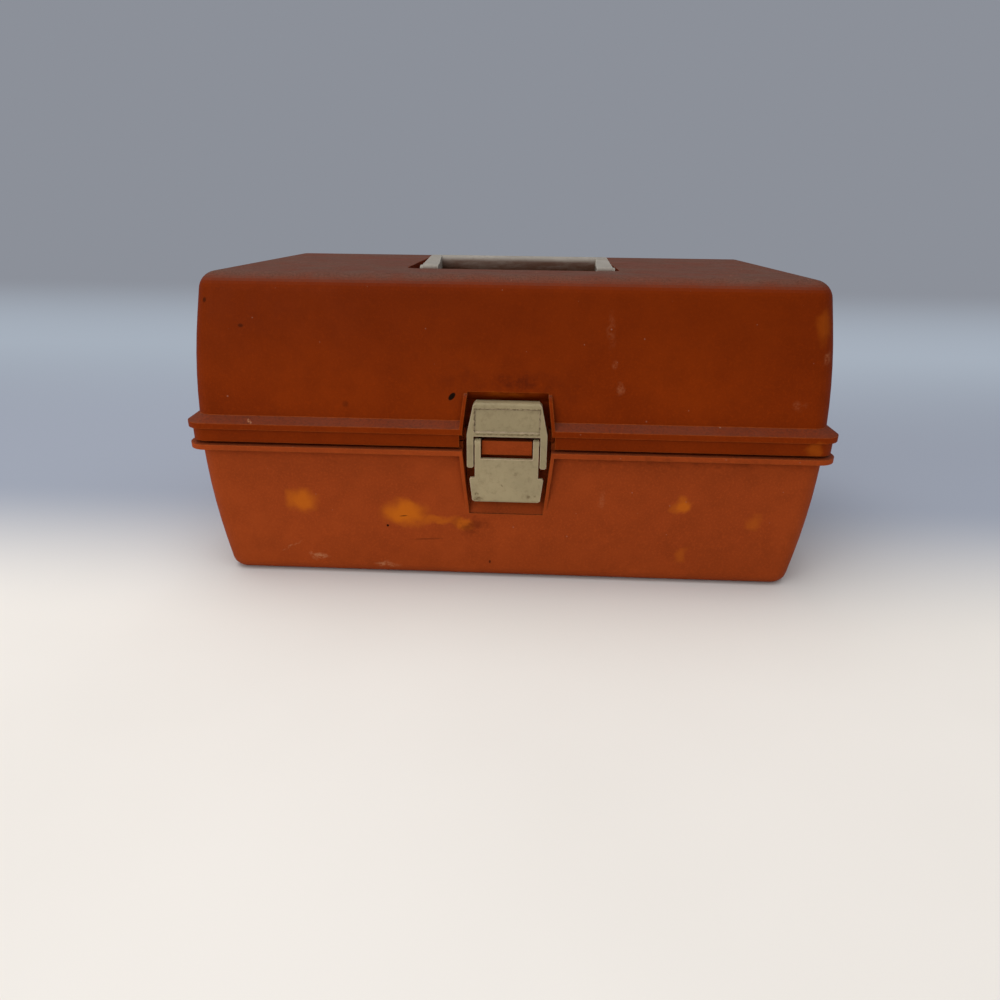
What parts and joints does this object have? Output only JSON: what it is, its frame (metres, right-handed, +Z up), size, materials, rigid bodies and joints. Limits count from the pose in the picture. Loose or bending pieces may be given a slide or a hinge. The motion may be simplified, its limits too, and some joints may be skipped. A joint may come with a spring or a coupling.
{
  "type": "tackle box",
  "caption": "Portable moulded plastic tackle box with a hinged deep lid, a draw latch, a folding top handle and cantilever trays that step back as it opens.",
  "frame": {"origin": "middle of the box on the surface it stands on, with the lid closed", "axes": "+X along the box's width to the right, +Y to the hinged back, +Z up"},
  "size_m": [0.43, 0.245, 0.212],
  "materials": {
    "orange_plastic": "weathered moulded plastic, faintly grained",
    "cream_plastic": "aged moulded plastic with dirt in the edges",
    "tray_plastic": "smooth moulded plastic",
    "steel": "plain rolled steel, dull"
  },
  "bodies": {
    "tub": {"base_tub": "orange_plastic", "tub_rivets": "steel", "hinge_pin_left": "steel", "hinge_pin_right": "steel"},
    "lid": {"lid_shell": "orange_plastic", "lid_rivets": "steel", "latch_pin": "steel"},
    "handle": {"handle": "cream_plastic"},
    "bail": {"latch_bail": "cream_plastic"},
    "lever": {"latch_lever": "cream_plastic"},
    "arm_front_left": {"arm_front_left": "steel"},
    "arm_rear_left": {"arm_rear_left": "steel", "link_rivet_left": "steel"},
    "arm_front_right": {"arm_front_right": "steel"},
    "arm_rear_right": {"arm_rear_right": "steel", "link_rivet_right": "steel"},
    "link_left": {"link_left": "steel"},
    "link_right": {"link_right": "steel"},
    "tray_lower": {"tray_lower": "tray_plastic", "tray_lower_dividers": "tray_plastic", "tray_lower_rivets": "steel"},
    "tray_middle": {"tray_middle": "tray_plastic", "tray_middle_dividers": "tray_plastic", "tray_middle_rivets": "steel"},
    "tray_upper": {"tray_upper": "tray_plastic", "tray_upper_dividers": "tray_plastic", "tray_upper_rivets": "steel"}
  },
  "joints": [
    {"name": "lid_hinge", "type": "hinge", "parent": "tub", "child": "lid", "pos_m": [0, 0.118, 0.1005], "axis": [-1, 0, 0], "range_deg": [0, 95]},
    {"name": "arm_front_left_pivot", "type": "hinge", "parent": "tub", "child": "arm_front_left", "pos_m": [-0.19767, 0.022, 0.0845], "axis": [-1, 0, 0], "range_deg": [0, 95]},
    {"name": "arm_rear_left_pivot", "type": "hinge", "parent": "tub", "child": "arm_rear_left", "pos_m": [-0.19767, 0.07, 0.0845], "axis": [-1, 0, 0], "range_deg": [0, 95]},
    {"name": "link_left_pivot", "type": "hinge", "parent": "lid", "child": "link_left", "pos_m": [-0.20067, 0.0797, 0.13264], "axis": [-1, 0, 0], "range_deg": [-95, 0]},
    {"name": "arm_front_right_pivot", "type": "hinge", "parent": "tub", "child": "arm_front_right", "pos_m": [0.19767, 0.022, 0.0845], "axis": [-1, 0, 0], "range_deg": [0, 95]},
    {"name": "arm_rear_right_pivot", "type": "hinge", "parent": "tub", "child": "arm_rear_right", "pos_m": [0.19767, 0.07, 0.0845], "axis": [-1, 0, 0], "range_deg": [0, 95]},
    {"name": "link_right_pivot", "type": "hinge", "parent": "lid", "child": "link_right", "pos_m": [0.20067, 0.0797, 0.13264], "axis": [-1, 0, 0], "range_deg": [-95, 0]},
    {"name": "tray_lower_pivot", "type": "hinge", "parent": "arm_rear_left", "child": "tray_lower", "pos_m": [-0.19767, 0.04166, 0.10828], "axis": [-1, 0, 0], "range_deg": [-95, 0]},
    {"name": "tray_middle_pivot", "type": "hinge", "parent": "arm_rear_left", "child": "tray_middle", "pos_m": [-0.19767, 0.01791, 0.12821], "axis": [-1, 0, 0], "range_deg": [-95, 0]},
    {"name": "tray_upper_pivot", "type": "hinge", "parent": "arm_rear_left", "child": "tray_upper", "pos_m": [-0.19767, -0.0066, 0.14878], "axis": [-1, 0, 0], "range_deg": [-95, 0]},
    {"name": "handle_fold", "type": "hinge", "parent": "lid", "child": "handle", "pos_m": [0, -0.044, 0.2025], "axis": [1, 0, 0], "range_deg": [0, 90]},
    {"name": "bail_swing", "type": "hinge", "parent": "lid", "child": "bail", "pos_m": [0, -0.1125, 0.125], "axis": [-1, 0, 0], "range_deg": [0, 45]},
    {"name": "lever_swing", "type": "hinge", "parent": "bail", "child": "lever", "pos_m": [0, -0.1182, 0.1026], "axis": [-1, 0, 0], "range_deg": [0, 100]}
  ],
  "couplings": [
    {"joint": "arm_front_left_pivot", "follows": "lid_hinge", "ratio": 1},
    {"joint": "arm_rear_left_pivot", "follows": "lid_hinge", "ratio": 1},
    {"joint": "link_left_pivot", "follows": "lid_hinge", "ratio": -1},
    {"joint": "arm_front_right_pivot", "follows": "lid_hinge", "ratio": 1},
    {"joint": "arm_rear_right_pivot", "follows": "lid_hinge", "ratio": 1},
    {"joint": "link_right_pivot", "follows": "lid_hinge", "ratio": -1},
    {"joint": "tray_lower_pivot", "follows": "lid_hinge", "ratio": -1},
    {"joint": "tray_middle_pivot", "follows": "lid_hinge", "ratio": -1},
    {"joint": "tray_upper_pivot", "follows": "lid_hinge", "ratio": -1}
  ]
}
